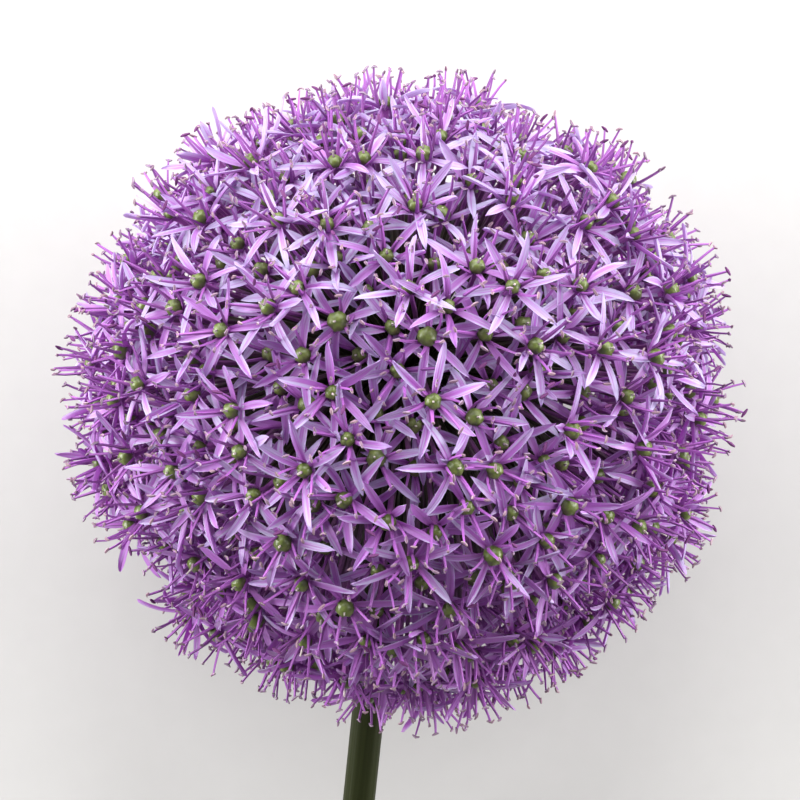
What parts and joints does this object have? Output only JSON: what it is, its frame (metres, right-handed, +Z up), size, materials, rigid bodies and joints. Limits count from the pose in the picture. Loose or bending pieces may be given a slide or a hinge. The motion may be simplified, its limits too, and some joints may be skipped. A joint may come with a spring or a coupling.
{
  "type": "allium flower head",
  "caption": "Round purple flower head of an ornamental onion on a short cut stem, lying on its side.",
  "frame": {"origin": "on the table, under the middle of the part's box", "axes": "+Z up, with the part lying on its side; +Y towards the crown of the flower head, with the cut end of the stem towards -Y"},
  "size_m": [0.1502, 0.207, 0.1378],
  "materials": {
    "florets": "soft matt petals, pale lilac at the edges and magenta purple along the midrib",
    "filaments": "matt purple",
    "anthers": "dry, pinkish grey, some dark purple",
    "ovaries": "slightly waxy green",
    "pedicels": "satin green, flushed purple",
    "stem": "satin dark green"
  },
  "bodies": {
    "root": {"flower_head": "florets", "stem": "stem"}
  },
  "joints": []
}
